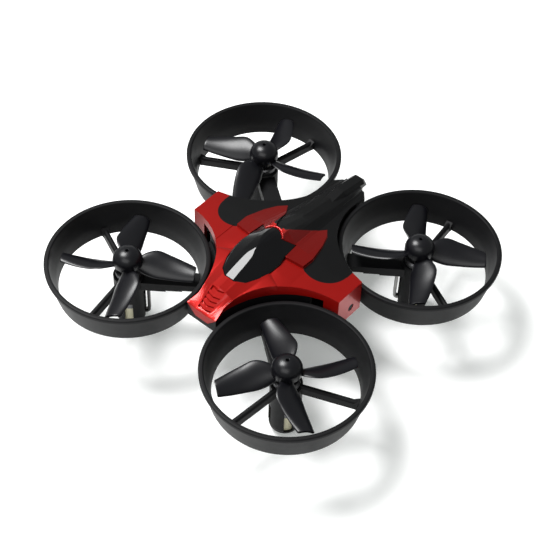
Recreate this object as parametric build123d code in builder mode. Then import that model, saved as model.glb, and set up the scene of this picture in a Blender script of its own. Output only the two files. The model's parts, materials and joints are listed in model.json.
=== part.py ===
from build123d import *
import math
import os

os.makedirs("parts", exist_ok=True)

# Palm-sized quadcopter with four ducted propellers.
# Frame: the nose points to -Y, +X is the left side, +Z is up.  The origin is under the
# centre, on the surface that the four motor pods stand on.  All sizes are in millimetres.

# ------------------------------------------------------------------ driving dimensions
SPACING = 23.6        # each motor axis from the centre, along X and along Y
RIM_Z = 20.2          # height of the duct rims above the pod feet
RIM_R = 18.9          # duct outer radius at its lip
RIM_INNER_R = 17.75   # duct inner radius at the lip
DUCT_DEPTH = 8.0      # height of the duct wall
DUCT_FOOT_R = 16.85   # outer radius at the bottom of the duct wall
DUCT_THROAT_R = 16.1  # inner radius at the bottom of the duct wall
LIP_DEPTH = 0.9       # height of the outward lip
LIP_ROOT_R = 18.45    # wall radius just under the lip

CAN_R = 3.0           # 6 mm coreless motor
CAN_TOP = -3.55       # heights from here on are measured from the rim plane
CAN_BOTTOM = -14.0
END_BELL_BOTTOM = -19.3
SHAFT_R = 0.4
POD_R = 3.6
POD_TOP = -4.9
POD_CHAMFER = 1.1
POD_BORE_R = 3.02

SPOKE_WIDTH = 1.3
SPOKE_HEIGHT = 2.3
SPOKE_TOP = -4.7
SPOKE_START = 2.2     # spokes start inside the pod's bore, which then trims them
SPOKE_DROP = 1.3      # how far a spoke falls from the pod to the duct wall
SPOKE_ANGLES = (98.0, 335.0)   # in the rear left corner's frame
ARM_ANGLE = 217.0
ARM_WIDTH = 4.2
ARM_TOP = -5.9
ARM_ROOF = 0.8
ARM_WALL = 0.8
ARM_STEPS = ((8.6, -8.3), (12.4, -8.0), (17.2, -7.7))   # outer end and underside of each step

PROP_R = 15.5
HUB_R = 3.45
HUB_TOP = 2.6
HUB_SKIRT = -1.3      # lower edge of the hub's dome
HUB_BOTTOM = -3.2
HUB_BOSS_R = 2.3
BLADE_COUNT = 4
BLADE_THICKNESS = 0.55

WIRE_R = 0.35
WIRE_PITCH = 0.8      # between the two wires of a motor lead
WIRE_RUN_Z = -7.22    # height of the wires inside the arm

SHELL = 0.9           # canopy wall
FRONT_ARC_R = 20.1    # canopy edge round a front duct
REAR_ARC_R = 19.1     # canopy edge round a rear duct
NOSE_Y = -24.7
NOSE_HALF = 4.2
SHOULDER_X = 21.5
SKIRT_Z = -2.4        # lower edge of the canopy wall
LIP_Z = 0.6           # its lower edge round the front ducts, above the tray's lip
LIP_REAR_Y = -3.3     # the lip's rear end
LIP_HALF = 17.8       # how far out the canopy's shallow front edge reaches
TONGUE = ((-4.25, 0.68), (-1.8, -1.9), (1.8, -1.9), (4.25, 0.68), (4.25, 4.0), (-4.25, 4.0))
SHOULDER_SKIRT_Z = -6.4
SHOULDER_SKIRT_X = 15.0
PEG_Y = 1.1
PEG_Z = -3.5
PEG_HOLE_R = 0.95
PEG_START = 20.1      # the snap peg runs outwards from here
PEG_LENGTH = 1.3
POST_X = 18.9         # middle of the post that carries the peg
POST_SIZE = (2.6, 4.4)

TRAY_TOP = -2.45
LEDGE_Z = -3.15       # underside of the ledge inside the tray wall
TRAY_FLOOR = -8.6
TRAY_WALL = 0.9
TRAY_FRONT = -24.3
CHIN_TOP = -3.2       # the sloping chin starts here and meets the floor further back
CHIN_RUN = 3.7        # how far back the chin runs as it falls to the floor
BAY_WIDTH = 13.0
BAY_HEIGHT = 7.6
BAY_WALL = 0.8
BAY_FRONT = -8.5
BAY_REAR = 20.0
CELL_WIDTH = 11.0
CELL_HEIGHT = 5.4
CELL_LENGTH = 24.5
CELL_FRONT = -7.5

BOARD_WIDTH = 21.0
BOARD_LENGTH = 17.0
BOARD_THICKNESS = 0.8
BOARD_Z = -6.2        # underside of the circuit board

# name, side (+1 is +X), end (+1 is the tail), turning sense seen from above, rest angle
CORNERS = (
    ("front_left", 1, -1, -1, 53.5),
    ("front_right", -1, -1, 1, 33.5),
    ("rear_left", 1, 1, 1, 37.0),
    ("rear_right", -1, 1, -1, 17.0),
)


def corner_axis(side, end):
    return Axis((side * SPACING, end * SPACING, 0), (0, 0, 1))


def corner_plane(side, end, angle, height=0.0):
    """Vertical plane through a motor axis: local x points outwards at the angle, local y up."""
    turn = math.radians(angle)
    out = Vector(side * math.cos(turn), end * math.sin(turn), 0)
    return Plane(
        origin=(side * SPACING, end * SPACING, RIM_Z + height),
        x_dir=out,
        z_dir=out.cross(Vector(0, 0, 1)),
    )


def corner_point(side, end, angle, radius, height, across=0.0):
    """Point at a radius and a sideways offset from a motor axis, in the corner's own frame."""
    turn = math.radians(angle)
    u = radius * math.cos(turn) - across * math.sin(turn)
    v = radius * math.sin(turn) + across * math.cos(turn)
    return (side * (SPACING + u), end * (SPACING + v), RIM_Z + height)


def finish(part, name):
    part.part.label = name
    export_step(part.part, f"parts/{name}.step")


# ------------------------------------------------------------------ duct rings
DUCT_INNER = (
    (RIM_INNER_R, 0.0),
    (17.35, -1.6),
    (16.75, -3.4),
    (16.3, -5.2),
    (DUCT_THROAT_R, -DUCT_DEPTH),
)
DUCT_OUTER = (
    (DUCT_FOOT_R, -DUCT_DEPTH),
    (LIP_ROOT_R, -LIP_DEPTH - 0.35),
    (RIM_R - 0.1, -LIP_DEPTH),
    (RIM_R, -LIP_DEPTH + 0.2),
    (RIM_R, -0.25),
    (RIM_R - 0.25, 0.0),
)
WIRE_NOTCH_WIDTH = 2.4
WIRE_NOTCH_TOP = -6.8


def duct_ring(name, side, end):
    with BuildPart() as ring:
        with BuildSketch(corner_plane(side, end, 0)):
            with BuildLine():
                Spline(*DUCT_INNER[:-1])
                Line(DUCT_INNER[-2], DUCT_INNER[-1])
                Polyline(DUCT_INNER[-1], *DUCT_OUTER, DUCT_INNER[0])
            make_face()
        revolve(axis=corner_axis(side, end))
        # notch in the lower edge where the motor wires leave the duct
        with BuildSketch(corner_plane(side, end, ARM_ANGLE)):
            with Locations((DUCT_FOOT_R, (WIRE_NOTCH_TOP - DUCT_DEPTH - 1) / 2)):
                Rectangle(4, WIRE_NOTCH_TOP + DUCT_DEPTH + 1)
        extrude(amount=WIRE_NOTCH_WIDTH / 2, both=True, mode=Mode.SUBTRACT)
    finish(ring, f"duct_ring_{name}")


# ------------------------------------------------------------------ motor mounts
SLOT_WIDTH = 2.0
SLOT_TOP = -12.0
SLOT_BOTTOM = -18.4
WIRE_SLOT_TOP = -16.4
POD_FLOOR = 0.7
VENT_R = 1.0
GUSSET = ((14.9, -6.3), (17.0, -5.2), (17.0, -8.0), (15.6, -8.0))   # radius, height
TAB_LENGTH = 1.4
TAB_REACH = (7.6, 11.4)


def spoke_section(side, end, angle):
    """Round-topped section of a bar that drops a little as it runs out to the duct wall."""
    turn = math.radians(angle)
    slope = SPOKE_DROP / DUCT_THROAT_R
    out = Vector(side * math.cos(turn), end * math.sin(turn), -slope)
    start = corner_point(side, end, angle, SPOKE_START, SPOKE_TOP)
    across = Vector(0, 0, 1).cross(out)
    top = SPOKE_WIDTH / 2
    with BuildSketch(Plane(origin=start, x_dir=across, z_dir=out)) as section:
        with BuildLine():
            Line((-top, -SPOKE_HEIGHT), (top, -SPOKE_HEIGHT))
            Line((top, -SPOKE_HEIGHT), (top, -top))
            ThreePointArc((top, -top), (0, 0), (-top, -top))
            Line((-top, -top), (-top, -SPOKE_HEIGHT))
        make_face()
    return section.sketch


def motor_mount(name, side, end):
    foot = -RIM_Z
    with BuildPart() as mount:
        with BuildSketch(corner_plane(side, end, 0)):
            with BuildLine():
                Polyline(
                    (0, foot),
                    (POD_R - POD_CHAMFER, foot),
                    (POD_R - 0.25, foot + POD_CHAMFER),
                    (POD_R, foot + 2 * POD_CHAMFER),
                    (POD_R, POD_TOP - 0.3),
                    (POD_R - 0.3, POD_TOP),
                    (0, POD_TOP),
                    close=True,
                )
            make_face()
        revolve(axis=corner_axis(side, end))
        for angle in SPOKE_ANGLES:
            extrude(spoke_section(side, end, angle), amount=DUCT_FOOT_R - SPOKE_START)
        # arm: a roof with a stepped wall down each side, open underneath for the wires
        with BuildSketch(corner_plane(side, end, ARM_ANGLE)):
            with BuildLine():
                under = []
                inner = 0.0
                for reach, bottom in ARM_STEPS:
                    under.append((inner, bottom))
                    under.append((reach, bottom))
                    inner = reach
                Polyline((0, ARM_TOP), *under, (ARM_STEPS[-1][0], ARM_TOP), close=True)
            make_face()
        extrude(amount=ARM_WIDTH / 2, both=True)
        with BuildSketch(corner_plane(side, end, ARM_ANGLE)):
            channel_top = ARM_TOP - ARM_ROOF
            with Locations((POD_R + 8, channel_top - 2)):
                Rectangle(16.5, 4)
        extrude(amount=ARM_WIDTH / 2 - ARM_WALL, both=True, mode=Mode.SUBTRACT)
        # two tabs under the wires
        with BuildSketch(corner_plane(side, end, ARM_ANGLE)):
            with Locations(
                (TAB_REACH[0], ARM_STEPS[0][1] + 0.2),
                (TAB_REACH[1], ARM_STEPS[1][1] + 0.2),
            ):
                Rectangle(TAB_LENGTH, 0.4)
        extrude(amount=ARM_WIDTH / 2 - 0.2, both=True)
        # small gussets where the spokes meet the duct wall
        for angle in SPOKE_ANGLES:
            with BuildSketch(corner_plane(side, end, angle)):
                with BuildLine():
                    Polyline(*GUSSET, close=True)
                make_face()
            extrude(amount=SPOKE_WIDTH / 2 + 0.15, both=True)
        # motor bore, cooling vent, side slots and the wire exit
        with BuildSketch(corner_plane(side, end, 0)):
            with BuildLine():
                Polyline(
                    (0, foot - 1),
                    (VENT_R, foot - 1),
                    (VENT_R, foot + POD_FLOOR),
                    (POD_BORE_R, foot + POD_FLOOR),
                    (POD_BORE_R, 1),
                    (0, 1),
                    close=True,
                )
            make_face()
        revolve(axis=corner_axis(side, end), mode=Mode.SUBTRACT)
        for turn in (90, 180, 270):
            with BuildSketch(corner_plane(side, end, ARM_ANGLE + turn)):
                with Locations((POD_R, (SLOT_TOP + SLOT_BOTTOM) / 2)):
                    Rectangle(3, SLOT_TOP - SLOT_BOTTOM)
            extrude(amount=SLOT_WIDTH / 2, both=True, mode=Mode.SUBTRACT)
        with BuildSketch(corner_plane(side, end, ARM_ANGLE)):
            with Locations((POD_R, (WIRE_SLOT_TOP + SLOT_BOTTOM - 0.8) / 2)):
                Rectangle(3, WIRE_SLOT_TOP - SLOT_BOTTOM + 0.8)
        extrude(amount=SLOT_WIDTH / 2, both=True, mode=Mode.SUBTRACT)
        # everything outside the inner face of the duct wall belongs to the ring
        with BuildSketch(corner_plane(side, end, 0)):
            with BuildLine():
                Spline(*DUCT_INNER[:-1])
                Line(DUCT_INNER[-2], DUCT_INNER[-1])
                Polyline(
                    DUCT_INNER[-1],
                    (DUCT_THROAT_R, -12),
                    (24, -12),
                    (24, 0),
                    DUCT_INNER[0],
                )
            make_face()
        revolve(axis=corner_axis(side, end), mode=Mode.SUBTRACT)
    finish(mount, f"motor_mount_{name}")


# ------------------------------------------------------------------ motors
CAN_WALL = 0.25
MAGNET_R = 1.3
MAGNET_BORE_R = 0.55
COIL_INNER_R = 1.6
COIL_OUTER_R = 2.35
BUSH_R = 0.43


def motor_can(name, side, end):
    with BuildPart() as can:
        with BuildSketch(corner_plane(side, end, 0)):
            with BuildLine():
                Polyline(
                    (BUSH_R, CAN_TOP + 0.3),
                    (1.1, CAN_TOP + 0.3),
                    (1.1, CAN_TOP),
                    (CAN_R - 0.3, CAN_TOP),
                    (CAN_R, CAN_TOP - 0.3),
                    (CAN_R, CAN_BOTTOM),
                    (CAN_R - CAN_WALL, CAN_BOTTOM),
                    (CAN_R - CAN_WALL, CAN_TOP - 0.5),
                    (MAGNET_BORE_R, CAN_TOP - 0.5),
                    (BUSH_R, CAN_TOP - 0.8),
                    close=True,
                )
            make_face()
        revolve(axis=corner_axis(side, end))
    finish(can, f"motor_can_{name}")


def motor_magnet(name, side, end):
    with BuildPart() as magnet:
        with BuildSketch(Plane.XY.offset(RIM_Z + CAN_BOTTOM + 1.2)):
            with Locations((side * SPACING, end * SPACING)):
                Circle(MAGNET_R)
                Circle(MAGNET_BORE_R, mode=Mode.SUBTRACT)
        extrude(amount=CAN_TOP - 0.85 - CAN_BOTTOM - 1.2)
    finish(magnet, f"motor_magnet_{name}")


def motor_end_bell(name, side, end):
    """Moulded plug that closes the can, with a bush for the shaft and a wire slot."""
    with BuildPart() as bell:
        with BuildSketch(corner_plane(side, end, 0)):
            with BuildLine():
                Polyline(
                    (BUSH_R, CAN_BOTTOM + 0.1),
                    (COIL_OUTER_R, CAN_BOTTOM + 0.1),
                    (COIL_OUTER_R, CAN_BOTTOM - 0.02),
                    (CAN_R - 0.05, CAN_BOTTOM - 0.02),
                    (CAN_R - 0.05, END_BELL_BOTTOM + 0.4),
                    (CAN_R - 0.45, END_BELL_BOTTOM),
                    (0, END_BELL_BOTTOM),
                    (0, END_BELL_BOTTOM + 1.0),
                    (BUSH_R, END_BELL_BOTTOM + 1.0),
                    close=True,
                )
            make_face()
        revolve(axis=corner_axis(side, end))
        with BuildSketch(corner_plane(side, end, ARM_ANGLE)):
            with Locations((CAN_R, (END_BELL_BOTTOM - 16.6) / 2)):
                Rectangle(2.0, -16.6 - END_BELL_BOTTOM)
        extrude(amount=0.85, both=True, mode=Mode.SUBTRACT)
    finish(bell, f"motor_end_bell_{name}")


def motor_rotor(name, side, end):
    """Coreless winding: a thin cup that turns between the magnet and the can."""
    bottom = CAN_BOTTOM + 0.4
    with BuildPart() as rotor:
        with BuildSketch(corner_plane(side, end, 0)):
            with BuildLine():
                Polyline(
                    (SHAFT_R, bottom),
                    (COIL_OUTER_R, bottom),
                    (COIL_OUTER_R, CAN_TOP - 1.2),
                    (COIL_INNER_R, CAN_TOP - 1.2),
                    (COIL_INNER_R, bottom + 0.6),
                    (SHAFT_R, bottom + 0.6),
                    close=True,
                )
            make_face()
        revolve(axis=corner_axis(side, end))
    finish(rotor, f"motor_winding_{name}")


def motor_shaft(name, side, end):
    bottom = END_BELL_BOTTOM + 1.2
    with BuildPart() as shaft:
        with BuildSketch(Plane.XY.offset(RIM_Z + bottom)):
            with Locations((side * SPACING, end * SPACING)):
                Circle(SHAFT_R)
        extrude(amount=1.2 - bottom)
    finish(shaft, f"motor_shaft_{name}")


def motor_leads(name, side, end):
    """Two insulated wires from the end bell, up beside the pod and along the arm."""
    route = (
        (2.6, -17.3),
        (4.35, -17.3),
        (4.35, WIRE_RUN_Z),
        (20.2, WIRE_RUN_Z),
    )
    with BuildPart() as leads:
        for across in (-WIRE_PITCH / 2, WIRE_PITCH / 2):
            points = [corner_point(side, end, ARM_ANGLE, r, z, across) for r, z in route]
            with BuildLine() as path:
                FilletPolyline(*points, radius=0.8)
            with BuildSketch(Plane(origin=path.line @ 0, z_dir=path.line % 0)):
                Circle(WIRE_R)
            sweep(path=path.line)
    finish(leads, f"motor_leads_{name}")


# ------------------------------------------------------------------ propellers
# radius, leading edge offset, trailing edge offset, pitch in degrees, droop
BLADE_STATIONS = (
    (1.9, 1.5, -0.8, 36.0, 0.0),
    (4.0, 3.0, -1.4, 33.0, 0.25),
    (6.5, 3.85, -1.85, 29.5, 0.45),
    (9.5, 3.35, -2.0, 25.0, 0.55),
    (12.5, 2.5, -2.2, 21.0, 0.45),
    (PROP_R - 0.25, 1.5, -2.3, 18.0, 0.25),
)
BLADE_Z = -2.3
BLADE_CAMBER = 0.5


def blade_section(side, end, angle, sense, station):
    """Thin cambered section across one blade; its leading edge is the higher one."""
    radius, lead, trail, pitch, droop = station
    turn = math.radians(angle)
    out = Vector(math.cos(turn), math.sin(turn), 0)
    ahead = Vector(0, 0, 1).cross(out) * sense
    tilt = math.radians(pitch)
    chord_dir = ahead * math.cos(tilt) + Vector(0, 0, 1) * math.sin(tilt)
    start = Vector(side * SPACING, end * SPACING, RIM_Z + BLADE_Z - droop) + out * radius
    plane = Plane(origin=start, x_dir=chord_dir, z_dir=out)
    stretch = 1 / math.cos(tilt)
    front = lead * stretch
    back = trail * stretch
    middle = (front + back) / 2
    half = BLADE_THICKNESS / 2
    bulge = BLADE_CAMBER * sense
    with BuildSketch(plane) as section:
        with BuildLine():
            Line((back, -half * 0.5), (back, half * 0.5))
            ThreePointArc((back, half * 0.5), (middle, half + bulge), (front, half * 0.5))
            Line((front, half * 0.5), (front, -half * 0.5))
            ThreePointArc((front, -half * 0.5), (middle, -half + bulge), (back, -half * 0.5))
        make_face()
    return section.sketch


def propeller(name, side, end, sense, phase):
    sections = [blade_section(side, end, phase, sense, station) for station in BLADE_STATIONS]
    with BuildPart() as blade:
        loft(sections)
    with BuildPart() as prop:
        with BuildSketch(corner_plane(side, end, 0)):
            with BuildLine():
                Line((0, HUB_TOP), (0.45, HUB_TOP))
                ThreePointArc((0.45, HUB_TOP), (2.45, 1.8), (HUB_R, 0.1))
                Polyline(
                    (HUB_R, 0.1),
                    (HUB_R - 0.05, HUB_SKIRT),
                    (HUB_BOSS_R, HUB_SKIRT),
                    (HUB_BOSS_R, HUB_BOTTOM),
                    (0, HUB_BOTTOM),
                    (0, HUB_TOP),
                )
            make_face()
        revolve(axis=corner_axis(side, end))
        add(blade.part)
        for number in range(1, BLADE_COUNT):
            turned = blade.part.rotate(corner_axis(side, end), number * 360 / BLADE_COUNT)
            add(turned)
        with BuildSketch(Plane.XY.offset(RIM_Z + HUB_BOTTOM - 1)):
            with Locations((side * SPACING, end * SPACING)):
                Circle(SHAFT_R)
        extrude(amount=HUB_TOP - HUB_BOTTOM + 2, mode=Mode.SUBTRACT)
        with BuildSketch(corner_plane(side, end, 0)):
            with BuildLine():
                Polyline(
                    (0, HUB_BOTTOM - 1),
                    (1.5, HUB_BOTTOM - 1),
                    (1.5, HUB_BOTTOM + 0.6),
                    (0, HUB_BOTTOM + 0.6),
                    close=True,
                )
            make_face()
        revolve(axis=corner_axis(side, end), mode=Mode.SUBTRACT)
    finish(prop, f"propeller_{name}")


for corner_name, corner_side, corner_end, corner_sense, corner_phase in CORNERS:
    duct_ring(corner_name, corner_side, corner_end)
    motor_mount(corner_name, corner_side, corner_end)
    motor_can(corner_name, corner_side, corner_end)
    motor_magnet(corner_name, corner_side, corner_end)
    motor_end_bell(corner_name, corner_side, corner_end)
    motor_rotor(corner_name, corner_side, corner_end)
    motor_shaft(corner_name, corner_side, corner_end)
    motor_leads(corner_name, corner_side, corner_end)
    propeller(corner_name, corner_side, corner_end, corner_sense, corner_phase)


# ------------------------------------------------------------------ centre of the frame
def duct_cores(radius_gain, top, bottom):
    """The four ducts as plain solids, a little larger: used to cut their room out of the centre."""
    with BuildPart() as cores:
        for _, side, end, _, _ in CORNERS:
            with BuildSketch(corner_plane(side, end, 0)):
                with BuildLine():
                    Polyline(
                        (0, top),
                        (RIM_R + radius_gain, top),
                        (RIM_R + radius_gain, -LIP_DEPTH),
                        (LIP_ROOT_R + radius_gain, -LIP_DEPTH - 0.35),
                        (DUCT_FOOT_R + radius_gain, -DUCT_DEPTH),
                        (DUCT_FOOT_R + radius_gain, bottom),
                        (0, bottom),
                        close=True,
                    )
                make_face()
            revolve(axis=corner_axis(side, end))
    return cores.part


def tray_outline(inset):
    """Plan of the centre tray as a diamond with a long nose and tail, before the ducts cut it."""
    return (
        (0, TRAY_FRONT + inset),
        (3.8 - inset, TRAY_FRONT + inset),
        (5.6 - inset, TRAY_FRONT + 1.3 + inset),
        (20.4 - inset, -3.6),
        (20.4 - inset, 5.2),
        (4.7 - inset, 27.2 - inset),
        (3.2 - inset, 28.4 - inset),
        (0, 28.4 - inset),
    )


def mirrored(points):
    return list(points) + [(-x, y) for x, y in reversed(points) if x > 0]


def arc_point(sign_y, radius, x):
    """Point at X on the arc of a radius round the left duct at the front (-1) or rear (+1)."""
    reach = math.sqrt(radius * radius - (SPACING - x) ** 2)
    return (x, sign_y * (SPACING - reach))


def half_outline(inset):
    """Right half of the canopy plan: nose, front arc, shoulder, rear arc, tail."""
    front = FRONT_ARC_R + inset
    rear = REAR_ARC_R + inset
    waist_x = SPACING - math.sqrt(front ** 2 - 2.1 ** 2)
    tail_x = SPACING - math.sqrt(rear ** 2 - 3.4 ** 2)
    shoulder = SHOULDER_X - inset
    heel_x = 18.7 - inset
    with BuildLine() as half:
        Polyline((0, NOSE_Y + inset), (NOSE_HALF - inset, NOSE_Y + inset), (waist_x, -21.5))
        ThreePointArc((waist_x, -21.5), arc_point(-1, front, 9.4), arc_point(-1, front, shoulder))
        Polyline(
            arc_point(-1, front, shoulder),
            (shoulder, 4.6 - inset),
            arc_point(1, rear, heel_x),
        )
        ThreePointArc(arc_point(1, rear, heel_x), arc_point(1, rear, 9.4), (tail_x, 27.0 - inset))
        Polyline((tail_x, 27.0 - inset), (3.2 - inset * 0.5, 28.9 - inset), (0, 28.9 - inset))
        Line((0, 28.9 - inset), (0, NOSE_Y + inset))
    return half.line


def plan_prism(inset, bottom, top):
    with BuildPart() as prism:
        with BuildSketch(Plane.XY.offset(RIM_Z + bottom)):
            with BuildLine():
                add(half_outline(inset))
            make_face()
            mirror(about=Plane.YZ)
        extrude(amount=top - bottom)
    return prism.part


BOSS_POINTS = ((8.6, 6.6), (8.6, -6.6), (-8.6, 6.6), (-8.6, -6.6))
SCREW_R = 0.5

def below_chin(inset):
    """Everything in front of and below the chin's slope, moved inwards by an inset."""
    fall = CHIN_TOP - TRAY_FLOOR
    length = math.hypot(CHIN_RUN, fall)
    y = TRAY_FRONT + inset * fall / length
    z = RIM_Z + CHIN_TOP + inset * CHIN_RUN / length
    steep = CHIN_RUN / fall
    with BuildPart() as wedge:
        with BuildSketch(Plane.YZ.offset(-12)):
            with BuildLine():
                Polyline(
                    (-32, z + inset * 3),
                    (y - inset * 3 * steep, z + inset * 3),
                    (y + 8 * steep, z - 8),
                    (-32, z - 8),
                    close=True,
                )
            make_face()
        extrude(amount=24)
    return wedge.part


def front_band(outer, inner, half, bottom, top):
    """The strip under the canopy edge round the nose and the front ducts."""
    band = plan_prism(outer, bottom, top) - plan_prism(inner, bottom - 1, top + 1)
    with BuildPart() as reach:
        with BuildSketch(Plane.XY.offset(RIM_Z + bottom)):
            with Locations((0, (LIP_REAR_Y - 30) / 2)):
                Rectangle(2 * half, LIP_REAR_Y + 30)
        extrude(amount=top - bottom)
    return band & reach.part


def nose_tongue(gap):
    """The front face of the canopy's nose, which hangs lower than the edges beside it."""
    with BuildPart() as tongue:
        with BuildSketch(Plane.XZ.offset(-NOSE_Y + 1)):
            with BuildLine():
                Polyline(*[(x, RIM_Z + z) for x, z in TONGUE], close=True)
            make_face()
            if gap:
                offset(amount=gap, kind=Kind.INTERSECTION)
        extrude(amount=-(SHELL + 1 + gap))
    return tongue.part


with BuildPart() as tray_space:
    with BuildSketch(Plane.XY.offset(RIM_Z + TRAY_FLOOR + TRAY_WALL)):
        with BuildLine():
            Polyline(*mirrored(tray_outline(TRAY_WALL)), close=True)
        make_face()
    extrude(amount=8)
    add(duct_cores(TRAY_WALL, 1, -12), mode=Mode.SUBTRACT)
    add(below_chin(TRAY_WALL), mode=Mode.SUBTRACT)

with BuildPart() as tray:
    with BuildSketch(Plane.XY.offset(RIM_Z + TRAY_FLOOR)):
        with BuildLine():
            Polyline(*mirrored(tray_outline(0)), close=True)
        make_face()
    extrude(amount=TRAY_TOP - TRAY_FLOOR)
    add(duct_cores(0.0, 1, -12), mode=Mode.SUBTRACT)
    add(below_chin(0.0), mode=Mode.SUBTRACT)
    add(tray_space.part, mode=Mode.SUBTRACT)
    # a ledge and a lip carry the canopy's edge round the front ducts
    with BuildPart(mode=Mode.PRIVATE) as ledge:
        with BuildSketch(Plane.XY.offset(RIM_Z + LEDGE_Z)):
            with BuildLine():
                Polyline(*mirrored(tray_outline(0)), close=True)
            make_face()
        extrude(amount=TRAY_TOP - LEDGE_Z)
        add(duct_cores(0.0, 1, -12), mode=Mode.SUBTRACT)
        add(plan_prism(SHELL - 0.1, LEDGE_Z - 1, TRAY_TOP + 1), mode=Mode.SUBTRACT)
        with BuildSketch(Plane.XY.offset(RIM_Z + LEDGE_Z - 1)):
            with Locations((0, LIP_REAR_Y + 20)):
                Rectangle(60, 40)
            shoulder_x = SHOULDER_SKIRT_X + 10
            with Locations((-shoulder_x, 0), (shoulder_x, 0)):
                Rectangle(20.2, 60)
        extrude(amount=4, mode=Mode.SUBTRACT)
    add(ledge.part)
    add(front_band(0.05, SHELL - 0.1, SHOULDER_SKIRT_X - 0.1, LEDGE_Z, LIP_Z - 0.1) - nose_tongue(0.1))
    # the canopy's deep skirts cover the shoulders, so the tray is low there
    for wing in (-1, 1):
        with BuildSketch(Plane.XY.offset(RIM_Z + SHOULDER_SKIRT_Z - 0.1)):
            with Locations((wing * (SHOULDER_SKIRT_X + 5 - 0.1), 0)):
                Rectangle(10, 40)
        extrude(amount=8, mode=Mode.SUBTRACT)
        # post with the snap peg that holds the canopy
        with BuildSketch(Plane.XY.offset(RIM_Z + TRAY_FLOOR)):
            with Locations((wing * POST_X, PEG_Y)):
                Rectangle(*POST_SIZE)
        extrude(amount=PEG_Z + 1.4 - TRAY_FLOOR)
        with BuildSketch(Plane.YZ.offset(wing * PEG_START)):
            with Locations((PEG_Y, RIM_Z + PEG_Z)):
                Circle(PEG_HOLE_R - 0.1)
        extrude(amount=wing * PEG_LENGTH)
    # bosses for the circuit board
    with BuildSketch(Plane.XY.offset(RIM_Z + TRAY_FLOOR + 0.1)):
        with Locations(*BOSS_POINTS):
            Circle(1.2)
    extrude(amount=BOARD_Z - TRAY_FLOOR - 0.1)
    with BuildSketch(Plane.XY.offset(RIM_Z + TRAY_FLOOR + 0.6)):
        with Locations(*BOSS_POINTS):
            Circle(SCREW_R)
    extrude(amount=4, mode=Mode.SUBTRACT)
    # notches that let the motor wires in under the duct walls
    for _, side, end, _, _ in CORNERS:
        with BuildSketch(corner_plane(side, end, ARM_ANGLE)):
            with Locations((18.2, WIRE_NOTCH_TOP - 0.65)):
                Rectangle(4.6, 1.3)
        extrude(amount=WIRE_NOTCH_WIDTH / 2, both=True, mode=Mode.SUBTRACT)
finish(tray, "centre_tray")

BAY_WINDOWS = (-2.6, 5.7, 14.0)
bay_top = RIM_Z + TRAY_FLOOR
bay_length = BAY_REAR - BAY_FRONT
bay_middle = (BAY_REAR + BAY_FRONT) / 2
with BuildPart() as bay:
    with BuildSketch(Plane.XY.offset(bay_top - BAY_HEIGHT)):
        with Locations((0, bay_middle)):
            Rectangle(BAY_WIDTH, bay_length)
    extrude(amount=BAY_HEIGHT)
    floor_edges = bay.edges().filter_by(Axis.Y).group_by(Axis.Z)[0]
    chamfer(floor_edges, 1.2)
    front_edges = bay.faces().sort_by(Axis.Y)[0].edges().group_by(Axis.Z)[0]
    chamfer(front_edges, 0.8)
    with BuildSketch(Plane.XZ.offset(-BAY_REAR)):
        with Locations((0, bay_top - BAY_HEIGHT / 2)):
            Rectangle(BAY_WIDTH - 2 * BAY_WALL, BAY_HEIGHT - 2 * BAY_WALL)
    extrude(amount=bay_length - BAY_WALL, mode=Mode.SUBTRACT)
    # cooling windows through the floor and the side walls
    with BuildSketch(Plane.XY.offset(bay_top - BAY_HEIGHT - 1)):
        with Locations(*[(0, y) for y in BAY_WINDOWS]):
            SlotOverall(6.6, 4.2, rotation=90)
    extrude(amount=BAY_WALL + 1, mode=Mode.SUBTRACT)
    with BuildSketch(Plane.YZ.offset(-BAY_WIDTH)):
        with Locations(*[(y, bay_top - BAY_HEIGHT / 2) for y in BAY_WINDOWS]):
            SlotOverall(6.2, 2.2)
    extrude(amount=2 * BAY_WIDTH, mode=Mode.SUBTRACT)
finish(bay, "battery_bay")


# ------------------------------------------------------------------ battery
CELL_Z = RIM_Z + TRAY_FLOOR - BAY_WALL - 0.4 - CELL_HEIGHT
with BuildPart() as cell:
    with BuildSketch(Plane.XZ.offset(-CELL_FRONT)):
        with Locations((0, CELL_Z + CELL_HEIGHT / 2)):
            RectangleRounded(CELL_WIDTH, CELL_HEIGHT, 1.4)
    extrude(amount=-CELL_LENGTH)
    chamfer(cell.faces().sort_by(Axis.Y)[-1].edges(), 0.4)
finish(cell, "battery_cell")

# protection board across the rear of the cell, under its end wrap
with BuildPart() as cell_cap:
    with BuildSketch(Plane.XZ.offset(-CELL_FRONT - CELL_LENGTH - 0.05)):
        with Locations((0, CELL_Z + CELL_HEIGHT / 2)):
            RectangleRounded(CELL_WIDTH - 0.5, CELL_HEIGHT - 1.2, 0.8)
    extrude(amount=-2.6)
    chamfer(cell_cap.faces().sort_by(Axis.Y)[-1].edges(), 0.35)
finish(cell_cap, "battery_protection_board")


# ------------------------------------------------------------------ circuit board
board_top = RIM_Z + BOARD_Z + BOARD_THICKNESS
with BuildPart() as board:
    with BuildSketch(Plane.XY.offset(RIM_Z + BOARD_Z)):
        RectangleRounded(BOARD_WIDTH, BOARD_LENGTH, 1.5)
        with Locations(*BOSS_POINTS):
            Circle(0.65, mode=Mode.SUBTRACT)
    extrude(amount=BOARD_THICKNESS)
finish(board, "flight_board")

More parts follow.
